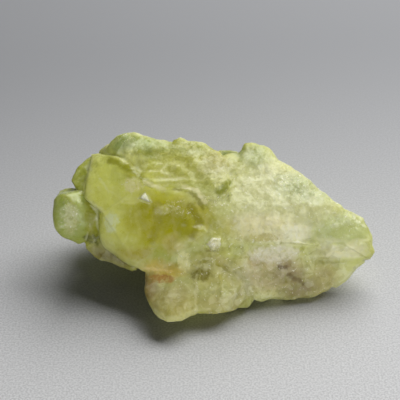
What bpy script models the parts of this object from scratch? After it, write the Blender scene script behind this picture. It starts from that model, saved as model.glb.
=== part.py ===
"""Rough brazilianite: a broken mass of intergrown crystals, about 45 mm long, as one solid.

Each crystal is the hull of its corners. The crystals are joined, shells are scooped out of
them, and the skin is then roughened zone by zone: small break faces, ledges and stripes.
"""

import bmesh
import bpy
import numpy as np

MM = 0.001

VOXEL_MM = 0.3
SOFTEN_PASSES = 2
SKIN_TRIANGLES = 9200
LEVEL_BELOW_MM = 0.05
BODY_COLOUR = (0.62, 0.66, 0.26, 1.0)
BODY_ROUGHNESS = 0.35
BODY_IOR = 1.61

# Corners of each crystal in millimetres: X to the right, Y to the back, Z up. The mass
# stands on the corners below zero, which are cut off level.
CRYSTALS = {
    "window": [
        (-17.6, 7.8, 16.8), (-15.6, -0.3, 12.0), (-16.0, -1.6, 8.2), (-15.4, -2.6, 7.4),
        (-12.3, -4.6, 6.5), (-10.2, -6.0, 6.3), (-9.5, 1.8, 15.8), (-13.5, 5.5, 17.4),
        (-6.0, -4.6, 8.8), (-2.5, -4.0, 10.2), (-3.0, -0.5, 13.0), (-4.0, 7.0, 14.0),
        (-14.0, 9.0, 8.0), (-8.0, 6.0, 3.0),
    ],
    "wing": [
        (-17.6, 7.8, 16.8), (-17.7, 3.8, 14.9), (-18.3, 1.2, 13.2), (-15.6, -0.3, 12.0),
        (-13.0, 2.8, 15.2), (-13.5, 5.5, 17.2), (-17.0, 5.0, 12.0), (-14.5, 3.0, 11.0),
        (-15.0, 8.0, 13.0),
    ],
    "recess": [
        (-18.5, 1.6, 12.6), (-17.0, 1.4, 12.2), (-15.7, 1.0, 11.4), (-16.1, -0.2, 7.2),
        (-17.4, -0.5, 9.2), (-18.6, 0.1, 8.6), (-16.5, -0.9, 6.4), (-18.1, -0.8, 6.0),
        (-18.0, 6.0, 8.0), (-15.0, 6.0, 8.0), (-16.0, 6.0, 12.0),
    ],
    "lobe": [
        (-22.6, 1.4, 13.0), (-22.7, -0.1, 11.5), (-22.5, -1.4, 9.8), (-21.7, -1.3, 8.0),
        (-19.2, -0.8, 6.6), (-21.6, 1.7, 13.8), (-20.0, 1.0, 14.2), (-18.7, 0.4, 12.8),
        (-19.0, -1.0, 10.0), (-22.2, 6.5, 11.0), (-21.0, 6.5, 8.5), (-15.0, 8.0, 11.5),
        (-14.0, 5.0, 6.0), (-14.0, 1.0, 9.0),
    ],
    "shoulder": [
        (-20.3, 5.0, 14.0), (-19.6, 6.6, 15.0), (-18.4, 8.0, 16.0), (-17.0, 8.6, 16.6),
        (-18.5, 2.0, 13.0), (-20.5, 9.0, 11.0), (-14.0, 12.0, 13.0), (-14.0, 7.0, 15.0),
        (-17.0, 7.0, 8.0),
    ],
    "underside": [
        (-18.2, -1.0, 6.3), (-16.1, -2.0, 4.6), (-13.2, -3.1, 4.3), (-10.6, -4.4, 4.8),
        (-16.0, -0.5, 8.0), (-18.0, 6.0, 6.5), (-12.0, 8.0, 3.5), (-10.0, 0.0, 8.0),
    ],
    "crown": [
        (-13.7, 8.6, 19.0), (-12.5, 8.9, 19.4), (-11.0, 8.8, 19.4), (-10.1, 8.2, 18.9),
        (-7.5, 8.6, 18.8), (-5.8, 8.1, 18.3), (-15.5, 7.8, 17.3), (-11.5, 5.5, 17.6),
        (-6.0, 6.5, 17.8), (-16.5, 10.0, 15.5), (-12.0, 13.0, 15.0), (-6.0, 12.5, 15.0),
        (-10.0, 8.0, 10.0),
    ],
    "upper": [
        (-4.7, 8.6, 18.8), (-2.5, 8.4, 18.3), (-0.4, 7.5, 17.8), (1.8, 7.0, 17.0),
        (-9.8, 2.4, 15.8), (-6.7, 1.0, 15.0), (-3.0, 1.8, 15.0), (0.5, -0.5, 14.0),
        (2.5, 2.0, 15.6), (-10.5, 5.5, 17.0), (-2.0, 12.5, 14.0), (3.0, 8.0, 8.0),
        (-8.0, 8.0, 8.0),
    ],
    "bulge": [
        (-6.9, 0.8, 15.0), (-3.2, 1.6, 15.2), (-0.9, 0.4, 14.5), (0.2, -0.8, 13.6),
        (-0.3, -3.2, 11.3), (-3.2, -3.3, 11.4), (-6.3, -1.0, 13.3), (-5.0, 4.0, 10.0),
        (0.0, 4.0, 10.0),
    ],
    "saddle": [
        (0.3, -0.8, 13.6), (2.4, -0.5, 13.6), (3.3, -4.0, 10.0), (-1.1, -4.8, 10.0),
        (-2.8, -4.0, 10.4), (-0.7, 0.2, 13.9), (1.5, 3.0, 14.5), (0.0, 4.0, 8.0),
        (4.0, 3.0, 9.0), (1.0, -5.0, 8.6),
    ],
    "bump": [
        (1.0, 10.2, 16.0), (3.8, 9.6, 15.9), (2.4, 10.0, 16.3), (0.0, 12.0, 13.0),
        (5.0, 12.0, 13.0), (2.0, 7.0, 14.0),
    ],
    "ridge": [
        (1.6, 7.2, 16.7), (4.9, 7.2, 16.5), (2.0, 9.0, 15.6), (4.8, 9.0, 15.6),
        (2.4, 1.2, 14.8), (3.8, 3.0, 15.4), (1.0, 8.0, 10.0), (6.0, 8.0, 10.0),
        (3.0, 2.0, 10.0),
    ],
    "knob": [
        (4.7, 9.6, 17.2), (6.0, 9.9, 17.3), (7.2, 9.9, 16.9), (4.3, 6.0, 16.5),
        (9.7, 7.9, 15.7), (7.0, 5.5, 15.8), (8.4, 8.9, 16.5), (4.6, 12.0, 14.5),
        (8.5, 12.0, 14.0), (4.0, 6.0, 12.0), (8.0, 6.0, 12.0), (3.8, 9.0, 15.4),
    ],
    "sugary": [
        (3.6, 6.5, 16.2), (7.4, 8.6, 16.2), (9.8, 8.0, 15.8), (12.7, 5.7, 14.1),
        (15.6, 3.8, 12.7), (18.9, 2.1, 11.4), (2.0, -0.5, 13.7), (3.1, -4.0, 10.0),
        (9.4, -2.9, 9.0), (13.8, -1.8, 8.2), (8.0, 1.4, 13.0), (4.0, 12.0, 9.0),
        (14.0, 9.5, 7.0), (17.0, 2.0, 6.0), (1.0, 2.0, 8.0),
    ],
    "tip": [
        (18.9, 2.1, 11.2), (21.7, 1.8, 9.8), (22.3, 0.5, 8.8), (23.0, -1.5, 6.0),
        (22.5, -2.4, 5.2), (14.2, -1.6, 8.1), (15.9, 0.2, 10.0), (14.0, -3.2, 5.8),
        (19.6, -3.0, 4.3), (21.5, 4.0, 6.0), (15.0, 8.0, 6.5), (18.5, -2.3, 8.0),
    ],
    "front": [
        (3.1, -4.0, 10.0), (9.4, -3.0, 9.0), (15.0, -2.2, 7.9), (-1.1, -4.8, 9.6),
        (7.1, -6.6, 1.0), (12.4, -5.6, 1.0), (15.3, -5.2, 1.0), (2.7, -6.6, 2.5),
        (-2.0, -6.0, 5.5), (5.2, -6.1, 5.5), (11.0, -5.0, 3.5), (14.6, -3.9, 4.5),
        (6.0, -4.6, -0.3), (12.0, -3.8, -0.3), (15.0, -3.0, -0.3),
        (12.0, 7.5, -0.3), (-4.0, 7.5, -0.3), (14.0, 4.0, 7.0),
    ],
    "heel": [
        (14.5, -3.1, 6.2), (17.9, -2.6, 5.2), (18.1, -3.2, 2.6), (17.0, -4.1, 1.0),
        (15.4, -5.1, 1.0), (12.6, -5.5, 1.0), (13.8, -4.6, 3.8), (12.0, 2.0, 6.0),
        (17.5, 3.0, 4.0), (16.4, 3.5, -0.3), (15.2, -2.4, -0.3), (12.0, 6.0, -0.3),
        (16.4, -4.3, 2.6),
    ],
    "chin": [
        (22.0, -2.4, 4.9), (20.0, -2.7, 3.9), (18.7, -3.3, 3.0), (17.2, -4.0, 1.6),
        (18.4, -3.6, 1.9), (17.6, -4.2, 1.0), (17.9, -2.6, 5.4), (15.5, -3.4, 5.6),
        (18.5, 1.5, 5.0), (17.0, 2.0, 2.0),
    ],
    "foot": [
        (-9.5, -6.4, 5.4), (-9.6, -8.1, 4.4), (-9.1, -10.0, 3.8), (-8.4, -11.7, 3.4),
        (-7.4, -12.9, 3.2), (-6.2, -13.6, 3.1), (-4.5, -13.2, 3.0), (-3.2, -12.1, 2.9),
        (-2.2, -11.0, 2.7), (-5.9, -10.0, 5.0), (-4.0, -9.6, 4.9), (-1.9, -7.7, 5.4),
        (-2.2, -6.6, 6.4), (-5.3, -6.5, 5.9), (-8.8, -6.2, 5.8), (-6.8, -7.6, -0.3),
        (-3.6, -7.8, -0.3), (-8.0, 2.0, -0.3), (-3.0, 3.0, -0.3), (-9.0, -2.0, 6.2),
        (-3.5, -2.0, 7.0),
    ],
    "shelf": [
        (-10.2, -6.0, 6.2), (-8.6, -6.6, 5.7), (-6.0, -7.2, 5.7), (-3.4, -6.9, 6.0),
        (-2.1, -6.2, 6.6), (-2.0, -4.7, 9.9), (-5.3, -4.8, 8.8), (-6.2, -4.7, 8.9),
        (-0.8, -5.2, 9.3), (-10.0, -2.0, 5.0), (-4.0, -1.0, 5.0), (-9.5, -5.2, 7.4),
    ],
    "webbing": [
        (-6.0, -4.6, 9.4), (-4.6, -3.5, 11.5), (-2.4, -3.4, 12.0), (0.8, -4.0, 11.0),
        (-0.8, -5.3, 9.2), (-4.0, -5.3, 8.8), (-3.0, 0.0, 9.0), (0.0, 0.0, 9.0),
        (-3.4, -6.4, 6.4), (-0.8, -6.6, 6.4),
    ],
    "lens": [
        (0.8, 0.4, 13.9), (1.6, 0.2, 14.2), (2.5, 1.2, 15.2), (2.2, 2.0, 15.6),
        (1.2, 1.6, 15.2), (0.7, 1.0, 14.5), (2.6, 1.6, 14.6), (1.5, 2.4, 13.5),
    ],
    "perched chip": [
        (-0.1, -4.9, 11.0), (1.1, -4.7, 10.8), (1.0, -5.4, 9.8), (0.1, -5.8, 9.3),
        (-1.0, -5.4, 10.2), (0.3, -3.0, 9.6),
    ],
    "glint": [
        (-9.5, 0.5, 15.0), (-10.3, -0.1, 14.4), (-8.8, -0.5, 14.0), (-9.4, 1.8, 13.2),
    ],
    "second foot": [
        (-2.4, -7.0, 5.2), (2.7, -6.4, 5.0), (-2.2, -10.8, 2.6), (0.3, -11.0, 2.5),
        (2.4, -10.5, 2.4), (3.5, -9.1, 2.0), (4.7, -7.6, 1.4), (5.6, -7.0, 1.0), (5.6, -6.2, 3.0),
        (-3.6, -7.0, -0.3), (-3.0, -9.2, 1.8), (2.5, -6.0, -0.3), (-3.6, 2.0, -0.3),
        (4.0, 2.0, -0.3), (0.0, 0.0, 7.0),
        (0.5, -9.0, 4.5), (-1.2, -6.1, 7.8), (-2.9, -9.4, 4.6), (-2.9, -7.3, 6.2),
        (1.6, -7.4, 6.3), (3.6, -6.9, 5.4),
    ],
    "core": [
        (-12.0, 11.5, 6.0), (-4.0, 13.0, 6.0), (6.0, 12.5, 5.0), (-10.0, 8.5, 1.0),
        (7.0, 9.5, -0.3), (-8.0, 9.0, -0.3), (-8.0, -3.0, 4.0), (-8.0, 12.5, 15.0),
        (8.0, 11.0, 13.5), (0.0, -2.0, 12.0), (-2.0, 13.0, 14.0), (12.0, 8.0, 3.0),
    ],
    "rear slab": [
        (-15.0, 10.5, 13.0), (-12.5, 13.2, 9.0), (-3.0, 14.2, 7.0), (-2.5, 13.8, 13.0),
        (-12.0, 10.0, 4.0), (-3.5, 12.5, 2.5), (-9.0, 12.8, 15.6), (-5.0, 6.0, 5.0),
    ],
    "rear left": [
        (-21.3, 8.3, 7.6), (-20.3, 9.3, 4.5), (-14.0, 12.0, 3.0), (-15.0, 12.3, 10.0),
        (-12.0, 5.0, 3.0), (-18.0, 4.0, 5.0), (-19.0, 9.8, 9.5),
    ],
    "rear prism": [
        (1.5, 13.0, 12.8), (9.0, 11.8, 12.0), (13.6, 8.6, 9.4), (3.5, 14.4, 7.5),
        (11.0, 11.6, 5.0), (3.0, 12.4, 1.2), (11.5, 9.4, -0.3), (5.0, 5.0, 6.0),
        (16.8, 5.0, 6.0), (15.4, 6.0, 2.0),
    ],
}

# Hollows where curved shells broke away: centre, radii and turn about Z in degrees.
SCOOPS = {
    "olive hollow": ((-7.4, -6.6, 16.0), (6.6, 6.6, 6.6), 0.0),
    "under the crown": ((-12.6, 4.6, 20.9), (4.2, 2.0, 3.6), 20.0),
    "lower pit": ((-1.2, -8.6, 6.6), (1.1, 1.6, 0.8), 0.0),
    "back shell": ((-1.0, 19.0, 12.5), (7.0, 6.0, 6.0), 0.0),
    "under the window": ((-14.0, -2.5, 0.6), (5.5, 4.5, 4.2), -15.0),
}


# Where each kind of skin lies: ellipsoids, as centre and radii in millimetres.
ZONES = {
    "glassy": [((-11.5, -1.0, 11.5), (7.5, 6.0, 4.5)), ((-21.0, 0.0, 11.0), (3.0, 4.0, 4.0)),
               ((19.9, -0.6, 8.9), (2.6, 1.4, 0.8))],
    "sugary": [((10.5, 1.0, 12.0), (7.5, 7.0, 4.5)), ((18.0, 0.0, 10.5), (3.5, 3.0, 2.0))],
    "lower": [((5.5, -6.0, 4.5), (9.0, 3.0, 4.6)), ((1.5, -9.5, 3.5), (3.0, 2.0, 1.6))],
    "smooth": [((-6.0, -10.0, 4.5), (3.6, 3.6, 2.0))],
    "ledged": [((-3.5, 4.0, 16.6), (6.0, 4.0, 1.8))],
    "striped": [((18.0, -2.6, 6.8), (4.0, 1.8, 1.4))],
    "crowned": [((-10.0, 8.5, 18.6), (5.0, 2.5, 1.4))],
    "crisp": [((0.2, -5.1, 10.2), (1.1, 0.9, 1.1)), ((-9.5, 0.2, 14.3), (0.9, 0.8, 0.9)),
              ((1.6, 1.2, 14.8), (1.2, 1.2, 1.2))],
}

# The ways that the crystals like to break, as the normals of their small faces.
BREAK_WAYS = np.array([
    (0.10, -0.35, 0.93), (-0.80, -0.45, 0.40), (0.85, -0.30, 0.42),
    (0.05, -0.98, 0.15), (-0.30, 0.92, 0.25), (0.15, 0.20, -0.97),
])
BREAK_WAYS /= np.linalg.norm(BREAK_WAYS, axis=1)[:, None]

# The small faces fill a box that reaches this far each way, in millimetres.
FACET_REACH = np.array((26.0, 18.0, 24.0))

# Spacing of the skin's features in millimetres, and the seeds of their patterns.
SWELL_WAVE, SWELL_SEED = 9.0, 3
BREAK_FACE, BREAK_SEED = 3.2, 1
SMALL_FACE, SMALL_SEED = 1.3, 2
LEDGE, LEDGE_SEED = 1.0, 7
LEDGE_STRETCH = (3.4, 1.3, 0.5)
STRIPE = 1.1
STRIPE_WAY = np.array([0.1, -0.2, 1.0])


def new_object(name, mesh, collection):
    made = bpy.data.objects.new(name, mesh)
    collection.objects.link(made)
    return made


def make_crystal(name, corners, collection):
    hull = bmesh.new()
    for corner in corners:
        hull.verts.new([MM * value for value in corner])
    made = bmesh.ops.convex_hull(hull, input=hull.verts)
    bmesh.ops.delete(hull, geom=made["geom_interior"], context="VERTS")
    bmesh.ops.recalc_face_normals(hull, faces=hull.faces)
    mesh = bpy.data.meshes.new(name)
    hull.to_mesh(mesh)
    hull.free()
    return new_object(name, mesh, collection)


def make_scoop(name, centre, radii, turn, collection):
    ball = bmesh.new()
    bmesh.ops.create_icosphere(ball, subdivisions=4, radius=MM)
    mesh = bpy.data.meshes.new(name)
    ball.to_mesh(mesh)
    ball.free()
    made = new_object(name, mesh, collection)
    made.location = [MM * value for value in centre]
    made.scale = radii
    made.rotation_euler = (0.0, 0.0, np.radians(turn))
    return made


def combine(target, operation, operands, name):
    step = target.modifiers.new(name, "BOOLEAN")
    step.operation = operation
    step.solver = "EXACT"
    step.operand_type = "COLLECTION"
    step.collection = operands


def zone(points, centre, radii):
    """One inside an ellipsoid, easing to nothing at twice its radii."""
    away = np.linalg.norm((points - centre) / radii, axis=1)
    share = np.clip(2.0 - away, 0.0, 1.0)
    return share * share * (3.0 - 2.0 * share)


def zone_share(points, name):
    """The greatest share that any of the zone's ellipsoids gives."""
    return np.max([zone(points, centre, radii) for centre, radii in ZONES[name]], axis=0)


def facets(points, spacing, seed, stretch=(1.0, 1.0, 1.0)):
    """Small flat faces that meet in edges.

    The height is the least, over the seeds near a point, of how far the point stands out
    from that seed along the break way where it stands out most.
    """
    chance = np.random.default_rng(seed)
    size = spacing * np.array(stretch)
    flat = points / size
    low = np.floor(-FACET_REACH / size)
    shape = (-2.0 * low).astype(int)
    seeds = np.stack(np.meshgrid(*[np.arange(n) for n in shape], indexing="ij"), axis=-1)
    seeds = low + seeds.reshape(-1, 3) + chance.uniform(0.05, 0.95, (shape.prod(), 3))
    cell = np.floor(flat - low).astype(int)
    height = np.full(len(flat), np.inf)
    for offset in np.ndindex(3, 3, 3):
        near = np.clip(cell + np.array(offset) - 1, 0, shape - 1)
        index = np.ravel_multi_index(near.T, shape)
        height = np.minimum(height, ((flat - seeds[index]) @ BREAK_WAYS.T).max(axis=1))
    return height - height.mean()


def swell(points, wave, seed):
    """A slow uneven rise and fall: a few sine waves that cross each other."""
    chance = np.random.default_rng(seed)
    ways = chance.normal(size=(6, 3))
    ways /= np.linalg.norm(ways, axis=1)[:, None] * wave * chance.uniform(0.7, 1.4, (6, 1))
    return np.sin(2.0 * np.pi * points @ ways.T + chance.uniform(0.0, 6.28, 6)).mean(axis=1)


def relief(points):
    """How far the skin stands out from the plain crystals, in millimetres."""
    share = {name: zone_share(points, name) for name in ZONES}
    sugary, smooth = share["sugary"], share["smooth"]
    stripes = np.sin(2.0 * np.pi * (points @ STRIPE_WAY) / STRIPE)
    plain = (1.0 - share["glassy"]) * (1.0 - share["crisp"]) * (1.0 - smooth)
    lower = share["lower"] * (1.0 - smooth)
    small = 0.12 * plain + 0.28 * lower + 0.10 * sugary + 0.16 * share["crowned"]
    return (
        (0.10 + 0.15 * plain) * swell(points, SWELL_WAVE, SWELL_SEED)
        + (0.25 + (0.75 - 0.40 * sugary) * plain) * facets(points, BREAK_FACE, BREAK_SEED)
        + small * facets(points, SMALL_FACE, SMALL_SEED)
        + 0.32 * share["ledged"] * facets(points, LEDGE, LEDGE_SEED, LEDGE_STRETCH)
        + 0.08 * share["striped"] * stripes
    )


def without_hollows(mesh):
    """Keeps the skin that reaches the top, and so fills any gap shut in between crystals."""
    whole = bmesh.new()
    whole.from_mesh(mesh)
    top = max(whole.verts, key=lambda corner: corner.co.z)
    reached, ahead = {top}, [top]
    while ahead:
        corner = ahead.pop()
        for edge in corner.link_edges:
            other = edge.other_vert(corner)
            if other not in reached:
                reached.add(other)
                ahead.append(other)
    inside = [corner for corner in whole.verts if corner not in reached]
    bmesh.ops.delete(whole, geom=inside, context="VERTS")
    whole.to_mesh(mesh)
    whole.free()
    print("corners on shut-in gaps:", len(inside))


def roughened(mesh):
    count = len(mesh.vertices)
    points, normals = np.empty(count * 3), np.empty(count * 3)
    mesh.vertices.foreach_get("co", points)
    mesh.vertex_normals.foreach_get("vector", normals)
    points, normals = points.reshape(-1, 3) / MM, normals.reshape(-1, 3)
    points = points + relief(points)[:, None] * normals
    points[:, 2] = np.maximum(points[:, 2], 0.0)
    mesh.vertices.foreach_set("co", (points * MM).ravel())
    mesh.update()


def settled(mesh):
    """Levels the foot of the mass at zero and centres its box over the origin."""
    points = np.empty(len(mesh.vertices) * 3)
    mesh.vertices.foreach_get("co", points)
    points = points.reshape(-1, 3)
    points[points[:, 2] < LEVEL_BELOW_MM * MM, 2] = 0.0
    middle = (points.min(axis=0) + points.max(axis=0)) / 2.0
    points[:, :2] -= middle[:2]
    mesh.vertices.foreach_set("co", points.ravel())
    mesh.update()
    print("centre moved by", np.round(-middle[:2] / MM, 3), "mm")


def evaluated_mesh(made):
    bpy.context.view_layer.update()
    graph = bpy.context.evaluated_depsgraph_get()
    return bpy.data.meshes.new_from_object(made.evaluated_get(graph))


def body_material():
    material = bpy.data.materials.new("brazilianite")
    material.use_nodes = True
    shader = material.node_tree.nodes["Principled BSDF"]
    shader.inputs["Base Color"].default_value = BODY_COLOUR
    shader.inputs["Roughness"].default_value = BODY_ROUGHNESS
    shader.inputs["IOR"].default_value = BODY_IOR
    return material


def main():
    for old in list(bpy.data.objects):
        bpy.data.objects.remove(old)
    made = bpy.data.collections.new("brazilianite")
    joined = bpy.data.collections.new("crystals to join")
    cutters = bpy.data.collections.new("shells to cut")
    for collection in (made, joined, cutters):
        bpy.context.scene.collection.children.link(collection)
    joined.hide_render = cutters.hide_render = True

    names = list(CRYSTALS)
    mass = make_crystal(names[0], CRYSTALS[names[0]], made)
    for name in names[1:]:
        make_crystal(name, CRYSTALS[name], joined)
    for name, (centre, radii, turn) in SCOOPS.items():
        make_scoop(name, centre, radii, turn, cutters)
    combine(mass, "UNION", joined, "grown together")
    combine(mass, "DIFFERENCE", cutters, "broken away")
    even = mass.modifiers.new("even skin", "REMESH")
    even.mode = "VOXEL"
    even.voxel_size = VOXEL_MM * MM
    soft = mass.modifiers.new("worn edges", "SMOOTH")
    soft.iterations = SOFTEN_PASSES
    for helper in list(joined.objects) + list(cutters.objects):
        helper.hide_render = True
        helper.display_type = "WIRE"

    skin = evaluated_mesh(mass)
    for helper in [mass, *joined.objects, *cutters.objects]:
        bpy.data.objects.remove(helper)
    without_hollows(skin)
    roughened(skin)
    fine = new_object("fine skin", skin, made)
    thin = fine.modifiers.new("fewer faces", "DECIMATE")
    thin.ratio = SKIN_TRIANGLES / (2.0 * len(skin.polygons))
    thin.use_collapse_triangulate = True
    body = evaluated_mesh(fine)
    bpy.data.objects.remove(fine)
    settled(body)
    body.materials.clear()
    body.materials.append(body_material())
    new_object("crystal_mass", body, made)
    print("skin", len(skin.polygons), "faces, then", len(body.polygons))


main()
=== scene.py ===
import bmesh
import bpy
import numpy as np
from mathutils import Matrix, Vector


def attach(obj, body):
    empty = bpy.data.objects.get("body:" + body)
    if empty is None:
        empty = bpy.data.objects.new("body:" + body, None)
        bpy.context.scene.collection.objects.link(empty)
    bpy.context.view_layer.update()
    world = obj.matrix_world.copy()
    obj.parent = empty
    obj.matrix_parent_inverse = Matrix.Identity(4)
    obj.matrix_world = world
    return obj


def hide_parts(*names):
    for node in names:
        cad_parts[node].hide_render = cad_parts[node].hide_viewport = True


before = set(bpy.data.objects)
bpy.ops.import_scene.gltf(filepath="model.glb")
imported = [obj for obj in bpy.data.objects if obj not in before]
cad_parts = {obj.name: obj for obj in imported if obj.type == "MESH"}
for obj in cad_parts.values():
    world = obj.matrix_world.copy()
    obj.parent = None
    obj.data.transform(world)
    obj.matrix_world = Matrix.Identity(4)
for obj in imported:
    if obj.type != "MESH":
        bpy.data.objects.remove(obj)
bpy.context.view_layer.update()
print("frame loaded")

mm = 0.001

# One stone, measured in millimetres: X to the right, Y to the back, Z up.
mass = {
    "shift": (-0.059, -0.528, 0.0),     # puts the middle of its box over the origin
    "spineMiddle": (-0.5, 3.5, 7.5),    # every ray to the skin starts on this line
    "spineWay": (1.0, -0.08, -0.20),
    "spineHalf": 15.5,
    "along": 400,                       # grid rows from the left end to the tip
    "around": 236,                      # grid columns in one turn
    "crowding": 0.5,                    # how much closer the columns stand at the front
    "frontTurn": 145.0,                 # degrees round from the back
    "crispPasses": 1,                   # rounds of smoothing everywhere,
    "softPasses": 5,                    # on the sugary and lower parts,
    "meldPasses": 30,                   # and where crystals run into each other
    "softGain": 1.3,                    # how early in their zones the soft parts are quite soft
    "bendReach": 3,                     # grid cells over which edges and creases are felt
    "sharpest": 2.0,                    # bend at which an edge or a crease is at its fullest
}

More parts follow.
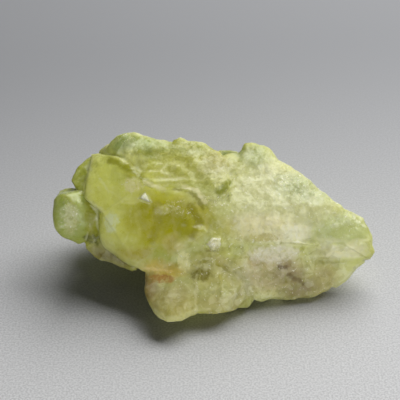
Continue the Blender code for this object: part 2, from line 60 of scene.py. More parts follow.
# The crystals that grew into one another: each fills the hull of these corners.
crystals = {
    "window": [
        (-17.6, 7.8, 16.8), (-15.6, -0.3, 12.0), (-16.0, -1.6, 8.2), (-15.4, -2.6, 7.4),
        (-12.3, -4.6, 6.5), (-10.2, -6.0, 6.3), (-9.5, 1.8, 15.8), (-13.5, 5.5, 17.4),
        (-6.0, -4.6, 8.8), (-2.5, -4.0, 10.2), (-3.0, -0.5, 13.0), (-4.0, 7.0, 14.0),
        (-14.0, 9.0, 8.0), (-8.0, 6.0, 3.0),
    ],
    "wing": [
        (-17.6, 7.8, 16.8), (-17.7, 3.8, 14.9), (-18.3, 1.2, 13.2), (-15.6, -0.3, 12.0),
        (-13.0, 2.8, 15.2), (-13.5, 5.5, 17.2), (-17.0, 5.0, 12.0), (-14.5, 3.0, 11.0),
        (-15.0, 8.0, 13.0),
    ],
    "recess": [
        (-18.5, 1.6, 12.6), (-17.0, 1.4, 12.2), (-15.7, 1.0, 11.4), (-16.1, -0.2, 7.2),
        (-17.4, -0.5, 9.2), (-18.6, 0.1, 8.6), (-16.5, -0.9, 6.4), (-18.1, -0.8, 6.0),
        (-18.0, 6.0, 8.0), (-15.0, 6.0, 8.0), (-16.0, 6.0, 12.0),
    ],
    "lobe": [
        (-22.6, 1.4, 13.0), (-22.7, -0.1, 11.5), (-22.5, -1.4, 9.8), (-21.7, -1.3, 8.0),
        (-19.2, -0.8, 6.6), (-21.6, 1.7, 13.8), (-20.0, 1.0, 14.2), (-18.7, 0.4, 12.8),
        (-19.0, -1.0, 10.0), (-22.2, 6.5, 11.0), (-21.0, 6.5, 8.5), (-15.0, 8.0, 11.5),
        (-14.0, 5.0, 6.0), (-14.0, 1.0, 9.0),
    ],
    "shoulder": [
        (-20.3, 5.0, 14.0), (-19.6, 6.6, 15.0), (-18.4, 8.0, 16.0), (-17.0, 8.6, 16.6),
        (-18.5, 2.0, 13.0), (-20.5, 9.0, 11.0), (-14.0, 12.0, 13.0), (-14.0, 7.0, 15.0),
        (-17.0, 7.0, 8.0),
    ],
    "underside": [
        (-18.2, -1.0, 6.3), (-16.1, -2.0, 4.6), (-13.2, -3.1, 4.3), (-10.6, -4.4, 4.8),
        (-16.0, -0.5, 8.0), (-18.0, 6.0, 6.5), (-12.0, 8.0, 3.5), (-10.0, 0.0, 8.0),
    ],
    "crown": [
        (-13.7, 8.6, 19.0), (-12.5, 8.9, 19.4), (-11.0, 8.8, 19.4), (-10.1, 8.2, 18.9),
        (-7.5, 8.6, 18.8), (-5.8, 8.1, 18.3), (-15.5, 7.8, 17.3), (-11.5, 5.5, 17.6),
        (-6.0, 6.5, 17.8), (-16.5, 10.0, 15.5), (-12.0, 13.0, 15.0), (-6.0, 12.5, 15.0),
        (-10.0, 8.0, 10.0),
    ],
    "upper": [
        (-4.7, 8.6, 18.8), (-2.5, 8.4, 18.3), (-0.4, 7.5, 17.8), (1.8, 7.0, 17.0),
        (-9.8, 2.4, 15.8), (-6.7, 1.0, 15.0), (-3.0, 1.8, 15.0), (0.5, -0.5, 14.0),
        (2.5, 2.0, 15.6), (-10.5, 5.5, 17.0), (-2.0, 12.5, 14.0), (3.0, 8.0, 8.0),
        (-8.0, 8.0, 8.0),
    ],
    "bulge": [
        (-6.9, 0.8, 15.0), (-3.2, 1.6, 15.2), (-0.9, 0.4, 14.5), (0.2, -0.8, 13.6),
        (-0.3, -3.2, 11.3), (-3.2, -3.3, 11.4), (-6.3, -1.0, 13.3), (-5.0, 4.0, 10.0),
        (0.0, 4.0, 10.0),
    ],
    "saddle": [
        (0.3, -0.8, 13.6), (2.4, -0.5, 13.6), (3.3, -4.0, 10.0), (-1.1, -4.8, 10.0),
        (-2.8, -4.0, 10.4), (-0.7, 0.2, 13.9), (1.5, 3.0, 14.5), (0.0, 4.0, 8.0),
        (4.0, 3.0, 9.0), (1.0, -5.0, 8.6),
    ],
    "bump": [
        (1.0, 10.2, 16.0), (3.8, 9.6, 15.9), (2.4, 10.0, 16.3), (0.0, 12.0, 13.0),
        (5.0, 12.0, 13.0), (2.0, 7.0, 14.0),
    ],
    "ridge": [
        (1.6, 7.2, 16.7), (4.9, 7.2, 16.5), (2.0, 9.0, 15.6), (4.8, 9.0, 15.6),
        (2.4, 1.2, 14.8), (3.8, 3.0, 15.4), (1.0, 8.0, 10.0), (6.0, 8.0, 10.0),
        (3.0, 2.0, 10.0),
    ],
    "knob": [
        (4.7, 9.6, 17.2), (6.0, 9.9, 17.3), (7.2, 9.9, 16.9), (4.3, 6.0, 16.5),
        (9.7, 7.9, 15.7), (7.0, 5.5, 15.8), (8.4, 8.9, 16.5), (4.6, 12.0, 14.5),
        (8.5, 12.0, 14.0), (4.0, 6.0, 12.0), (8.0, 6.0, 12.0), (3.8, 9.0, 15.4),
    ],
    "sugary": [
        (3.6, 6.5, 16.2), (7.4, 8.6, 16.2), (9.8, 8.0, 15.8), (12.7, 5.7, 14.1),
        (15.6, 3.8, 12.7), (18.9, 2.1, 11.4), (2.0, -0.5, 13.7), (3.1, -4.0, 10.0),
        (9.4, -2.9, 9.0), (13.8, -1.8, 8.2), (8.0, 1.4, 13.0), (4.0, 12.0, 9.0),
        (14.0, 9.5, 7.0), (17.0, 2.0, 6.0), (1.0, 2.0, 8.0),
    ],
    "tip": [
        (18.9, 2.1, 11.2), (21.7, 1.8, 9.8), (22.3, 0.5, 8.8), (23.0, -1.5, 6.0),
        (22.5, -2.4, 5.2), (14.2, -1.6, 8.1), (15.9, 0.2, 10.0), (14.0, -3.2, 5.8),
        (19.6, -3.0, 4.3), (21.5, 4.0, 6.0), (15.0, 8.0, 6.5), (18.5, -2.3, 8.0),
    ],
    "front": [
        (3.1, -4.0, 10.0), (9.4, -3.0, 9.0), (15.0, -2.2, 7.9), (-1.1, -4.8, 9.6),
        (7.1, -6.6, 1.0), (12.4, -5.6, 1.0), (15.3, -5.2, 1.0), (2.7, -6.6, 2.5),
        (-2.0, -6.0, 5.5), (5.2, -6.1, 5.5), (11.0, -5.0, 3.5), (14.6, -3.9, 4.5),
        (6.0, -4.6, -0.3), (12.0, -3.8, -0.3), (15.0, -3.0, -0.3),
        (12.0, 7.5, -0.3), (-4.0, 7.5, -0.3), (14.0, 4.0, 7.0),
    ],
    "heel": [
        (14.5, -3.1, 6.2), (17.9, -2.6, 5.2), (18.1, -3.2, 2.6), (17.0, -4.1, 1.0),
        (15.4, -5.1, 1.0), (12.6, -5.5, 1.0), (13.8, -4.6, 3.8), (12.0, 2.0, 6.0),
        (17.5, 3.0, 4.0), (16.4, 3.5, -0.3), (15.2, -2.4, -0.3), (12.0, 6.0, -0.3),
        (16.4, -4.3, 2.6),
    ],
    "chin": [
        (22.0, -2.4, 4.9), (20.0, -2.7, 3.9), (18.7, -3.3, 3.0), (17.2, -4.0, 1.6),
        (18.4, -3.6, 1.9), (17.6, -4.2, 1.0), (17.9, -2.6, 5.4), (15.5, -3.4, 5.6),
        (18.5, 1.5, 5.0), (17.0, 2.0, 2.0),
    ],
    "foot": [
        (-9.5, -6.4, 5.4), (-9.6, -8.1, 4.4), (-9.1, -10.0, 3.8), (-8.4, -11.7, 3.4),
        (-7.4, -12.9, 3.2), (-6.2, -13.6, 3.1), (-4.5, -13.2, 3.0), (-3.2, -12.1, 2.9),
        (-2.2, -11.0, 2.7), (-5.9, -10.0, 5.0), (-4.0, -9.6, 4.9), (-1.9, -7.7, 5.4),
        (-2.2, -6.6, 6.4), (-5.3, -6.5, 5.9), (-8.8, -6.2, 5.8), (-6.8, -7.6, -0.3),
        (-3.6, -7.8, -0.3), (-8.0, 2.0, -0.3), (-3.0, 3.0, -0.3), (-9.0, -2.0, 6.2),
        (-3.5, -2.0, 7.0),
    ],
    "shelf": [
        (-10.2, -6.0, 6.2), (-8.6, -6.6, 5.7), (-6.0, -7.2, 5.7), (-3.4, -6.9, 6.0),
        (-2.1, -6.2, 6.6), (-2.0, -4.7, 9.9), (-5.3, -4.8, 8.8), (-6.2, -4.7, 8.9),
        (-0.8, -5.2, 9.3), (-10.0, -2.0, 5.0), (-4.0, -1.0, 5.0), (-9.5, -5.2, 7.4),
    ],
    "webbing": [
        (-6.0, -4.6, 9.4), (-4.6, -3.5, 11.5), (-2.4, -3.4, 12.0), (0.8, -4.0, 11.0),
        (-0.8, -5.3, 9.2), (-4.0, -5.3, 8.8), (-3.0, 0.0, 9.0), (0.0, 0.0, 9.0),
        (-3.4, -6.4, 6.4), (-0.8, -6.6, 6.4),
    ],
    "lens": [
        (0.8, 0.4, 13.9), (1.6, 0.2, 14.2), (2.5, 1.2, 15.2), (2.2, 2.0, 15.6),
        (1.2, 1.6, 15.2), (0.7, 1.0, 14.5), (2.6, 1.6, 14.6), (1.5, 2.4, 13.5),
    ],
    "perchedChip": [
        (-0.1, -4.9, 11.0), (1.1, -4.7, 10.8), (1.0, -5.4, 9.8), (0.1, -5.8, 9.3),
        (-1.0, -5.4, 10.2), (0.3, -3.0, 9.6),
    ],
    # the tiny facet that carries a painted glint
    "glint": [
        (-9.5, 0.5, 15.0), (-10.3, -0.1, 14.4), (-8.8, -0.5, 14.0), (-9.4, 1.8, 13.2),
    ],
    "secondFoot": [
        (-2.4, -7.0, 5.2), (2.7, -6.4, 5.0), (-2.2, -10.8, 2.6), (0.3, -11.0, 2.5),
        (2.4, -10.5, 2.4), (3.5, -9.1, 2.0), (4.7, -7.6, 1.4), (5.6, -7.0, 1.0),
        (5.6, -6.2, 3.0), (-3.6, -7.0, -0.3), (-3.0, -9.2, 1.8), (2.5, -6.0, -0.3),
        (-3.6, 2.0, -0.3), (4.0, 2.0, -0.3), (0.0, 0.0, 7.0), (0.5, -9.0, 4.5),
        (-1.2, -6.1, 7.8), (-2.9, -9.4, 4.6), (-2.9, -7.3, 6.2), (1.6, -7.4, 6.3),
        (3.6, -6.9, 5.4),
    ],
    "core": [
        (-12.0, 11.5, 6.0), (-4.0, 13.0, 6.0), (6.0, 12.5, 5.0), (-10.0, 8.5, 1.0),
        (7.0, 9.5, -0.3), (-8.0, 9.0, -0.3), (-8.0, -3.0, 4.0), (-8.0, 12.5, 15.0),
        (8.0, 11.0, 13.5), (0.0, -2.0, 12.0), (-2.0, 13.0, 14.0), (12.0, 8.0, 3.0),
    ],
    "rearSlab": [
        (-15.0, 10.5, 13.0), (-12.5, 13.2, 9.0), (-3.0, 14.2, 7.0), (-2.5, 13.8, 13.0),
        (-12.0, 10.0, 4.0), (-3.5, 12.5, 2.5), (-9.0, 12.8, 15.6), (-5.0, 6.0, 5.0),
    ],
    "rearLeft": [
        (-21.3, 8.3, 7.6), (-20.3, 9.3, 4.5), (-14.0, 12.0, 3.0), (-15.0, 12.3, 10.0),
        (-12.0, 5.0, 3.0), (-18.0, 4.0, 5.0), (-19.0, 9.8, 9.5),
    ],
    "rearPrism": [
        (1.5, 13.0, 12.8), (9.0, 11.8, 12.0), (13.6, 8.6, 9.4), (3.5, 14.4, 7.5),
        (11.0, 11.6, 5.0), (3.0, 12.4, 1.2), (11.5, 9.4, -0.3), (5.0, 5.0, 6.0),
        (16.8, 5.0, 6.0), (15.4, 6.0, 2.0),
    ],
}

# Hollows where curved shells broke away: centre, radii, turn about Z in degrees.
scoops = {
    "oliveHollow": ((-7.4, -6.6, 16.0), (6.6, 6.6, 6.6), 0.0),
    "underCrown": ((-12.6, 4.6, 20.9), (4.2, 2.0, 3.6), 20.0),
    "lowerPit": ((-1.2, -8.6, 6.6), (1.1, 1.6, 0.8), 0.0),
    "backShell": ((-1.0, 19.0, 12.5), (7.0, 6.0, 6.0), 0.0),
    "underWindow": ((-14.0, -2.5, 0.6), (5.5, 4.5, 4.2), -15.0),
}


def crystalFaces(corners):
    # the hull of the corners, as outward normals and how far out each face lies
    hull = bmesh.new()
    for corner in corners:
        hull.verts.new(corner)
    bmesh.ops.convex_hull(hull, input=hull.verts)
    hull.normal_update()
    normals = np.array([face.normal for face in hull.faces])
    out = np.array([face.verts[0].co for face in hull.faces])
    hull.free()
    out = (normals * out).sum(axis=1)
    side = np.sign(out - normals @ np.mean(corners, axis=0))
    return side[:, None] * normals, side * out


def exitDistance(faces, starts, ways):
    # a ray leaves a crystal at the nearest face it runs towards, unless it missed it
    normals, out = faces
    closing = ways @ normals.T
    gap = out - starts @ normals.T
    with np.errstate(divide="ignore", invalid="ignore"):
        reach = gap / closing
    leave = np.where(closing > 1e-9, reach, np.inf).min(axis=1)
    enter = np.where(closing < -1e-9, reach, -np.inf).max(axis=1)
    return np.where(leave > np.maximum(enter, 0.0), leave, -np.inf)


def scooped(reach, scoop, starts, ways):
    # a ray that would end inside the ellipsoid stops where it enters it
    centre, radii, turn = scoop
    cosine, sine = np.cos(np.radians(turn)), np.sin(np.radians(turn))
    toScoop = np.array([[cosine, sine, 0.0], [-sine, cosine, 0.0], [0.0, 0.0, 1.0]]).T / np.array(radii)
    way, start = ways @ toScoop, (starts - centre) @ toScoop
    a, b, c = (way * way).sum(axis=1), (way * start).sum(axis=1), (start * start).sum(axis=1) - 1.0
    root = np.sqrt(np.maximum(b * b - a * c, 0.0))
    enter, leave = (-b - root) / a, (-b + root) / a
    cut = (b * b > a * c) & (reach > enter) & (reach < leave) & (enter > 0.0)
    return np.where(cut, enter, reach)


def skin(along, around):
    # Two parameters in 0..1. The ray starts on the spine at the cosine of the first one's
    # half turn, leans outwards by the cube of it, and goes round by the second one's full turn.
    # The skin is where the ray leaves the last of the crystals, or enters a scoop. With it
    # goes the number of the crystal that each ray left last.
    way = np.array(mass["spineWay"]) / np.linalg.norm(mass["spineWay"])
    rise = np.cross(way, [0.0, 1.0, 0.0])
    rise = rise / np.linalg.norm(rise)
    side = np.cross(rise, way)
    front = np.radians(mass["frontTurn"])
    lean, turn = np.pi * along[:, None], 2.0 * np.pi * around[None, :] + front
    turn = turn - mass["crowding"] * np.sin(turn - front)
    tilt = np.cos(lean) ** 3
    upright = np.sqrt(1.0 - tilt * tilt)
    ways = (-tilt + 0.0 * turn)[..., None] * way \
        + (upright * np.cos(turn))[..., None] * side \
        + (upright * np.sin(turn))[..., None] * rise
    starts = np.array(mass["spineMiddle"]) \
        - mass["spineHalf"] * (np.cos(lean) + 0.0 * turn)[..., None] * way
    flatWays, flatStarts = ways.reshape(-1, 3), starts.reshape(-1, 3)
    reach, last = np.full(len(flatWays), -np.inf), np.zeros(len(flatWays), int)
    for number, corners in enumerate(crystals.values()):
        leave = exitDistance(crystalFaces(corners), flatStarts, flatWays)
        last[leave > reach] = number
        reach = np.maximum(reach, leave)
    for scoop in scoops.values():
        reach = scooped(reach, scoop, flatStarts, flatWays)
    points = (flatStarts + reach[:, None] * flatWays).reshape(ways.shape)
    return points, last.reshape(ways.shape[:2])


def averaged(points):
    # each grid point moves halfway to the middle of its four neighbours; the ends stay
    out = points.copy()
    ring = np.roll(points, 1, axis=1) + np.roll(points, -1, axis=1)
    out[1:-1] = 0.5 * points[1:-1] + 0.125 * (ring[1:-1] + points[:-2] + points[2:])
    return out


def gridNormals(points):
    # the cross product of the two ways along the grid; at each end, the mean of its ring
    downGrid = np.gradient(points, axis=0)
    acrossGrid = np.roll(points, -1, axis=1) - np.roll(points, 1, axis=1)
    normals = np.cross(downGrid, acrossGrid)
    normals[0], normals[-1] = normals[1].sum(axis=0), normals[-2].sum(axis=0)
    return normals / np.maximum(np.linalg.norm(normals, axis=2, keepdims=True), 1e-12)


def zone(points, centre, radii):
    # one inside an ellipsoid, easing to nothing at twice its radii
    away = np.linalg.norm((points - centre) / radii, axis=-1)
    share = np.clip(2.0 - away, 0.0, 1.0)
    return share * share * (3.0 - 2.0 * share)


# Crystals whose whole skin gets one colour: display colour, and how much of it shows. Some of these are
# painted shade or a painted highlight.
crystalTints = {
    "lobe": ((172, 186, 92), 0.6),
    # painted shade: the shoulder, turned away from the light, is coloured darker
    "shoulder": ((166, 174, 54), 0.9),
    # painted shade in the recess between the lobe and the window
    "recess": ((174, 176, 38), 0.9),
    "lens": ((196, 198, 112), 0.9),
    # a painted highlight: the tiny facet is coloured near white as a glint
    "glint": ((255, 252, 206), 1.0),
    "perchedChip": ((255, 250, 214), 1.0),
}

# Where each kind of surface lies: ellipsoids, as centre and radii.
zones = {
    "glassy": [((-11.5, -1.0, 11.5), (7.5, 6.0, 4.5)), ((-21.0, 0.0, 11.0), (3.0, 4.0, 4.0)),
               ((19.9, -0.6, 8.9), (2.6, 1.4, 0.8))],
    "sugary": [((10.5, 1.0, 12.0), (7.5, 7.0, 4.5)), ((18.0, 0.0, 10.5), (3.5, 3.0, 2.0))],
    "lower": [((5.5, -6.0, 4.5), (9.0, 3.0, 4.6)), ((1.5, -9.5, 3.5), (3.0, 2.0, 1.6))],
    "smooth": [((-6.0, -10.0, 4.5), (3.6, 3.6, 2.0))],
    "ledged": [((-3.5, 4.0, 16.6), (6.0, 4.0, 1.8))],
    "striped": [((18.0, -2.6, 6.8), (4.0, 1.8, 1.4))],
    "crowned": [((-10.0, 8.5, 18.6), (5.0, 2.5, 1.4))],
    "melded": [((-2.5, -4.0, 10.0), (3.6, 2.4, 2.8)), ((-12.0, 3.2, 16.2), (2.2, 1.6, 1.0)),
               ((-8.6, 2.2, 15.4), (2.4, 1.6, 1.0)), ((-5.6, 1.2, 14.9), (1.6, 1.2, 0.9)),
               ((-6.3, -1.6, 12.4), (2.6, 2.0, 2.0)), ((2.6, 3.4, 15.8), (2.2, 3.8, 1.8)),
               ((-21.0, 0.4, 11.4), (2.0, 2.4, 3.0))],
    "crisp": [((0.2, -5.1, 10.2), (1.1, 0.9, 1.1)), ((-9.5, 0.2, 14.3), (0.9, 0.8, 0.9)),
              ((1.6, 1.2, 14.8), (1.2, 1.2, 1.2))],
    "frosted": [((-11.4, 1.9, 15.4), (1.3, 1.0, 0.9)), ((-20.0, -0.4, 11.6), (0.9, 1.5, 2.0)),
                ((-12.3, 8.6, 19.2), (1.4, 1.2, 0.7)), ((20.5, 1.0, 10.2), (2.0, 1.2, 0.8)),
                ((12.5, 4.5, 13.6), (3.5, 1.6, 1.2)), ((-4.6, -1.0, 13.1), (1.6, 0.9, 0.9)),
                ((0.2, -0.1, 14.0), (1.4, 0.7, 0.6)), ((0.2, -5.1, 10.2), (1.0, 0.8, 0.9))],
}


def zoneShare(points, name):
    # the greatest share that any of the zone's ellipsoids gives
    return np.max([zone(points, centre, radii) for centre, radii in zones[name]], axis=0)


# the ways that the crystals like to break, as the normals of their small faces
breakWays = np.array([
    (0.10, -0.35, 0.93), (-0.80, -0.45, 0.40), (0.85, -0.30, 0.42),
    (0.05, -0.98, 0.15), (-0.30, 0.92, 0.25), (0.15, 0.20, -0.97),
])
breakWays /= np.linalg.norm(breakWays, axis=1)[:, None]
facetReach = (26.0, 18.0, 24.0)     # the small faces fill a box that reaches this far each way


def facets(points, spacing, seed, stretch=(1.0, 1.0, 1.0)):
    # small flat faces that meet in edges: the least, over the seeds near a point, of how far
    # it stands out from that seed along the break way where it stands out most
    chance = np.random.default_rng(seed)
    size = spacing * np.array(stretch)
    flat = points.reshape(-1, 3) / size
    low = np.floor(-np.array(facetReach) / size)
    shape = (-2.0 * low).astype(int)
    seeds = np.stack(np.meshgrid(*[np.arange(n) for n in shape], indexing="ij"), axis=-1)
    seeds = low + seeds.reshape(-1, 3) + chance.uniform(0.05, 0.95, (shape.prod(), 3))
    cell = np.floor(flat - low).astype(int)
    height = np.full(len(flat), np.inf)
    for offset in np.ndindex(3, 3, 3):
        index = np.ravel_multi_index(np.clip(cell + np.array(offset) - 1, 0, shape - 1).T, shape)
        height = np.minimum(height, ((flat - seeds[index]) @ breakWays.T).max(axis=1))
    return (height - height.mean()).reshape(points.shape[:-1])


def swell(points, wave, seed):
    # a slow uneven rise and fall: the mean of six sine waves that cross each other
    chance = np.random.default_rng(seed)
    ways = chance.normal(size=(6, 3))
    ways /= np.linalg.norm(ways, axis=1)[:, None] * wave * chance.uniform(0.7, 1.4, (6, 1))
    return np.sin(2.0 * np.pi * points @ ways.T + chance.uniform(0.0, 6.28, 6)).mean(axis=-1)


def makeGrid(name, points):
    # a closed tube of quads with one point at each end
    rows, columns = points.shape[0] - 2, points.shape[1]
    verts = np.concatenate([points[:1, 0], points[1:-1].reshape(-1, 3), points[-1:, 0]])
    ring = 1 + np.arange(rows)[:, None] * columns + np.arange(columns)[None, :]
    turned = np.roll(ring, -1, axis=1)
    quads = np.stack([ring[:-1], turned[:-1], turned[1:], ring[1:]], axis=-1).reshape(-1, 4)
    first = np.stack([np.zeros(columns, int), turned[0], ring[0]], axis=-1)
    last = np.stack([np.full(columns, len(verts) - 1), ring[-1], turned[-1]], axis=-1)
    loops = np.concatenate([quads.ravel(), first.ravel(), last.ravel()])
    sizes = np.concatenate([np.full(len(quads), 4), np.full(2 * columns, 3)])
    mesh = bpy.data.meshes.new(name)
    mesh.vertices.add(len(verts))
    mesh.vertices.foreach_set("co", verts.ravel())
    mesh.loops.add(len(loops))
    mesh.loops.foreach_set("vertex_index", loops)
    mesh.polygons.add(len(sizes))
    mesh.polygons.foreach_set("loop_start", np.concatenate([[0], np.cumsum(sizes)[:-1]]))
    mesh.update(calc_edges=True)
    mesh.validate()
    made = bpy.data.objects.new(name, mesh)
    bpy.context.scene.collection.objects.link(made)
    return made


# What the relief is made of: spacing in millimetres and seed, how far the ledges are drawn
# out each way, and the way across the stripes.
texture = {
    "swell": (9.0, 3),
    "broad": (3.2, 1),
    "small": (1.3, 2),
    "fine": (0.6, 5),
    "ledge": (1.0, 7, (3.4, 1.3, 0.5)),
    "stripeSpacing": 1.1,
    "stripeWay": (0.1, -0.2, 1.0),
}


def relief(points):
    # how far the skin stands out from the plain crystals, zone by zone
    share = {name: zoneShare(points, name) for name in zones}
    glassy, sugary, lower = share["glassy"], share["sugary"], share["lower"]
    across = points @ np.array(texture["stripeWay"])
    stripes = np.sin(2.0 * np.pi * across / texture["stripeSpacing"])
    plain = (1.0 - glassy) * (1.0 - share["crisp"]) * (1.0 - share["smooth"])
    lower = lower * (1.0 - share["smooth"])
    broken = 0.12 * plain + 0.28 * lower + 0.10 * sugary + 0.16 * share["crowned"]
    return (
        (0.10 + 0.15 * plain) * swell(points, *texture["swell"])
        + (0.25 + (0.75 - 0.40 * sugary) * plain) * facets(points, *texture["broad"])
        + broken * facets(points, *texture["small"])
        + 0.10 * plain * facets(points, *texture["fine"])
        + 0.32 * share["ledged"] * facets(points, *texture["ledge"])
        + 0.08 * share["striped"] * stripes
    )


def bendAlong(before, here, after, normals):
    # the second difference of the points, along the normal, over the square of their spacing
    gap = np.linalg.norm(after - before, axis=2) / 2.0 + 0.05
    return ((before + after - 2.0 * here) * normals).sum(axis=2) / gap ** 2


def bending(points, reach):
    # how fast the skin curves both ways along the grid, over a few cells: below nothing on
    # edges, above nothing in creases
    normals, middle = gridNormals(points), slice(reach, -reach)
    left, right = np.roll(points, reach, axis=1), np.roll(points, -reach, axis=1)
    total = bendAlong(left, points, right, normals)
    above, below = points[:-2 * reach], points[2 * reach:]
    total[middle] += bendAlong(above, points[middle], below, normals[middle])
    return total


def addMask(made, name, values):
    # one number for each point of the grid, which the material reads
    values = np.concatenate([values[:1, 0], values[1:-1].ravel(), values[-1:, 0]])
    made.data.attributes.new(name, "FLOAT", "POINT").data.foreach_set("value", values)


# the crystals, then rounds of smoothing: the first everywhere, the rest where zones ask for it
along = np.linspace(0.0, 1.0, mass["along"] + 2)
around = np.arange(mass["around"]) / mass["around"]
points, lastCrystal = skin(along, around)
crisp = zoneShare(points, "crisp")
melded = zoneShare(points, "melded") * (1.0 - crisp)
soft = np.maximum(zoneShare(points, "sugary"), zoneShare(points, "lower")) * (1.0 - crisp)
for done in range(mass["meldPasses"]):
    share = np.maximum(melded, soft * (done < mass["softPasses"]))
    share = np.clip(mass["softGain"] * share, 0.0, 1.0)[..., None]
    share = 1.0 if done < mass["crispPasses"] else share
    points = points + share * (averaged(points) - points)
plainPoints = points
points = points + relief(points)[..., None] * gridNormals(points)
points[..., 2] = np.maximum(points[..., 2], 0.0)
stone = makeGrid("brazilianiteStone", (points + mass["shift"]) * mm)
bend = bending(plainPoints, mass["bendReach"])
# the edge mask: where a painted glow lightens the edges
addMask(stone, "edge", np.clip(-bend, 0.0, mass["sharpest"]))
# the crease mask: where painted shade darkens the creases
addMask(stone, "paintedCreaseShade", np.clip(bend, 0.0, mass["sharpest"]))
skinZones = ("glassy", "sugary", "lower", "smooth", "ledged", "frosted")
for name in skinZones:
    addMask(stone, name, zoneShare(plainPoints, name))
for name in crystalTints:
    addMask(stone, name, (lastCrystal == list(crystals).index(name)).astype(float))
print("stone", len(stone.data.polygons), "faces")


class Wire:
    # an output socket that can be used in sums, each of which adds a Math node
    def __init__(self, board, socket):
        self.board, self.socket = board, socket

    def __add__(self, other):
        return self.board.sum("ADD", self, other)

    def __radd__(self, other):
        return self.board.sum("ADD", other, self)

    def __sub__(self, other):
        return self.board.sum("SUBTRACT", self, other)

    def __rsub__(self, other):
        return self.board.sum("SUBTRACT", other, self)

    def __mul__(self, other):
        return self.board.sum("MULTIPLY", self, other)

    def __rmul__(self, other):
        return self.board.sum("MULTIPLY", other, self)


class Board:
    # a material's node tree
    def __init__(self, name):
        self.material = bpy.data.materials.new(name)
        self.material.use_nodes = True
        self.tree = self.material.node_tree
        self.tree.nodes.clear()

    def node(self, kind, settings=None, sockets=None, output=0):
        # any node: its settings are set first, then its sockets are linked or filled
        made = self.tree.nodes.new(kind)
        for key, value in (settings or {}).items():
            setattr(made, key, value)
        for key, value in (sockets or {}).items():
            if isinstance(value, Wire):
                self.tree.links.new(value.socket, made.inputs[key])
            else:
                made.inputs[key].default_value = value
        return Wire(self, made.outputs[output])

    def sum(self, operation, first, second):
        return self.node("ShaderNodeMath", {"operation": operation}, {0: first, 1: second})

    def vector(self, operation, first, second=None, scale=None):
        sockets = {0: first}
        if second is not None:
            sockets[1] = second
        if scale is not None:
            sockets["Scale"] = scale
        return self.node("ShaderNodeVectorMath", {"operation": operation}, sockets)

    def dot(self, first, second):
        return self.node("ShaderNodeVectorMath", {"operation": "DOT_PRODUCT"}, {0: first, 1: second}, 1)

    def length(self, vector):
        return self.node("ShaderNodeVectorMath", {"operation": "LENGTH"}, {0: vector}, 1)

    def mix(self, factor, first, second):
        return self.node("ShaderNodeMix", {"data_type": "RGBA"}, {0: factor, 6: first, 7: second}, 2)

    def mask(self, name):
        # one of the numbers that addMask gave to each point
        return self.node("ShaderNodeAttribute", {"attribute_name": name}, output=2)

    def ramp(self, value, low, high):
        # eases from nothing at low to one at high
        return self.node("ShaderNodeMapRange", {"interpolation_type": "SMOOTHSTEP"},
                         {"Value": value, "From Min": low, "From Max": high})

    def noise(self, place, scale, detail, roughness):
        return self.node("ShaderNodeTexNoise", None, {
            "Vector": place, "Scale": scale, "Detail": detail, "Roughness": roughness})

    def grain(self, place, scale, detail, roughness, low, high):
        # noise that eases between two of its levels
        return self.ramp(self.noise(place, scale, detail, roughness), low, high)

    def stray(self, place, scale, detail, reach):
        # the place, drifted by up to about a third of the reach
        drift = self.node("ShaderNodeTexNoise", None, {
            "Vector": place, "Scale": scale, "Detail": detail}, 1)
        drift = self.vector("SCALE", self.vector("SUBTRACT", drift, (0.5, 0.5, 0.5)), scale=reach)
        return self.vector("ADD", place, drift)

    def voronoi(self, place, scale, output):
        return self.node("ShaderNodeTexVoronoi", None, {"Vector": place, "Scale": scale}, output)

    def cells(self, place, scale):
        # a number from 0 to 1 for each cell of a Voronoi pattern: its red
        return self.dot(self.voronoi(place, scale, 1), (1.0, 0.0, 0.0))

    def cellWay(self, place, scale):
        # a vector for each cell, within a half of nothing each way
        return self.vector("SUBTRACT", self.voronoi(place, scale, 1), (0.5, 0.5, 0.5))

    def sparkleDots(self, place, scale, outer, inner, rare, common):
        # dots in the middles of some of the cells
        dots = self.ramp(self.voronoi(place, scale, 0), outer, inner)
        return dots * self.ramp(self.cells(place, scale), rare, common)

    def blob(self, place, centre, radii, outer=1.7, inner=0.5):
        # one inside an ellipsoid, easing to nothing at the outer share of its radii
        away = self.vector("DIVIDE", self.vector("SUBTRACT", place, centre), radii)
        return self.ramp(self.length(away), outer, inner)

    def stroke(self, place, corners, reach):
        # one along a path of straight runs, easing to nothing at its reach
        nearest = 0.0
        for start, end in zip(corners, corners[1:]):
            run = np.subtract(end, start)
            offset = self.vector("SUBTRACT", place, start)
            share = self.dot(offset, tuple(run / (run @ run)))
            share = self.node("ShaderNodeClamp", None, {"Value": share})
            away = self.vector("SUBTRACT", offset, self.vector("SCALE", tuple(run), scale=share))
            nearest = self.sum("MAXIMUM", nearest, self.ramp(self.length(away), reach, 0.3 * reach))
        return nearest

    def finish(self, surface, inside=None):
        out = self.tree.nodes.new("ShaderNodeOutputMaterial")
        self.tree.links.new(surface.socket, out.inputs["Surface"])
        if inside:
            self.tree.links.new(inside.socket, out.inputs["Volume"])


def rgb(red, green, blue):
    # a display colour of 0..255 as the linear colour that a shader takes
    display = np.array([red, green, blue]) / 255.0
    linear = np.where(display <= 0.04045, display / 12.92, ((display + 0.055) / 1.055) ** 2.4)
    return (*[float(value) for value in linear], 1.0)


